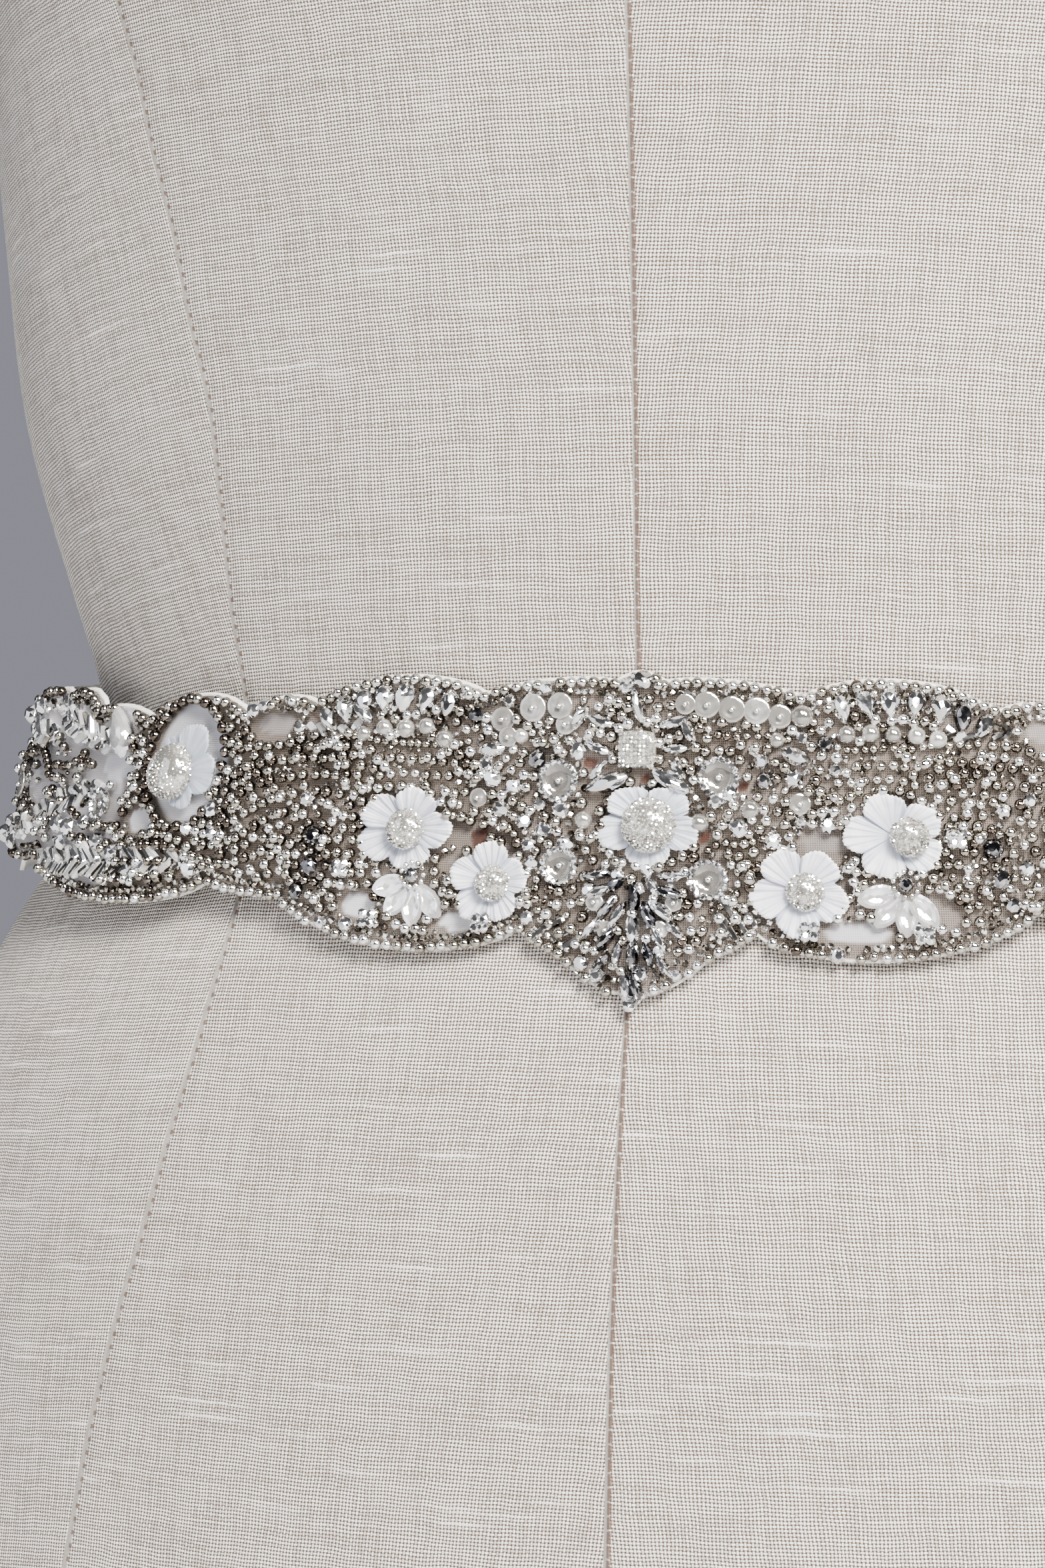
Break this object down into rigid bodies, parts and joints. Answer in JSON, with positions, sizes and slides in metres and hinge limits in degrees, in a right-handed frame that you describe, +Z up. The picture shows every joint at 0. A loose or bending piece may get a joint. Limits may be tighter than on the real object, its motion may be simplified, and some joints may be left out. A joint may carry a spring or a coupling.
{
  "type": "bridal sash on a dress form",
  "caption": "Scalloped bridal sash thick with beads, flowers and stones, worn at the waist of a limbless linen dress form and closed at the back with satin ribbons.",
  "frame": {"origin": "middle of the bounding box at the foot of the dress form, on the surface that it stands on", "axes": "+Z up along the form, -Y out of its front, +X to the viewer's right from the front"},
  "size_m": [0.3568, 0.2602, 0.7],
  "materials": {
    "linen_cover": "plain weave with slubs, matt",
    "net_backing": "fine net over white cloth, matt",
    "ivory_satin": "satin, soft sheen",
    "petal_cloth": "stiffened organza, soft sheen",
    "silver_beads": "silver lined glass, bright",
    "clear_crystal": "polished, foil backed",
    "pave_crystal": "fine crystal paving, sparkling",
    "cup_sequin": "translucent, glossy",
    "nickel_wire": "plain nickel"
  },
  "bodies": {
    "root": {"dress_form": "linen_cover", "beaded_band": "net_backing", "ribbon_left": "ivory_satin", "ribbon_right": "ivory_satin", "closure_hook": "nickel_wire", "closure_bar": "nickel_wire", "flower_centre": "petal_cloth", "flower_left_upper": "petal_cloth", "flower_left_lower": "petal_cloth", "flower_right_upper": "petal_cloth", "flower_right_lower": "petal_cloth", "flower_left_side": "petal_cloth", "flower_right_side": "petal_cloth", "dome_centre": "pave_crystal", "dome_left_upper": "pave_crystal", "dome_left_lower": "pave_crystal", "dome_right_upper": "pave_crystal", "dome_right_lower": "pave_crystal", "dome_left_side": "pave_crystal", "dome_right_side": "pave_crystal", "pear_left_1": "clear_crystal", "pear_left_2": "clear_crystal", "pear_left_3": "clear_crystal", "pear_left_4": "clear_crystal", "pear_left_5": "clear_crystal", "pear_left_6": "clear_crystal", "pear_left_7": "clear_crystal", "pear_right_1": "clear_crystal", "pear_right_2": "clear_crystal", "pear_right_3": "clear_crystal", "pear_right_4": "clear_crystal", "pear_right_5": "clear_crystal", "pear_right_6": "clear_crystal", "pear_right_7": "clear_crystal", "marquise_1": "clear_crystal", "marquise_2": "clear_crystal", "marquise_3": "clear_crystal", "marquise_4": "clear_crystal", "marquise_5": "clear_crystal", "marquise_6": "clear_crystal", "marquise_7": "clear_crystal", "marquise_8": "clear_crystal", "teardrop_left": "clear_crystal", "teardrop_right": "clear_crystal", "clear_fan_left": "clear_crystal", "clear_fan_right": "clear_crystal", "clear_fan_left_stone": "clear_crystal", "clear_fan_right_stone": "clear_crystal", "square_stone": "pave_crystal", "cup_sequin_1": "cup_sequin", "cup_sequin_2": "cup_sequin", "cup_sequin_3": "cup_sequin", "cup_sequin_4": "cup_sequin", "cup_sequin_5": "cup_sequin", "cup_sequin_6": "cup_sequin", "palmette": "silver_beads"}
  },
  "joints": []
}
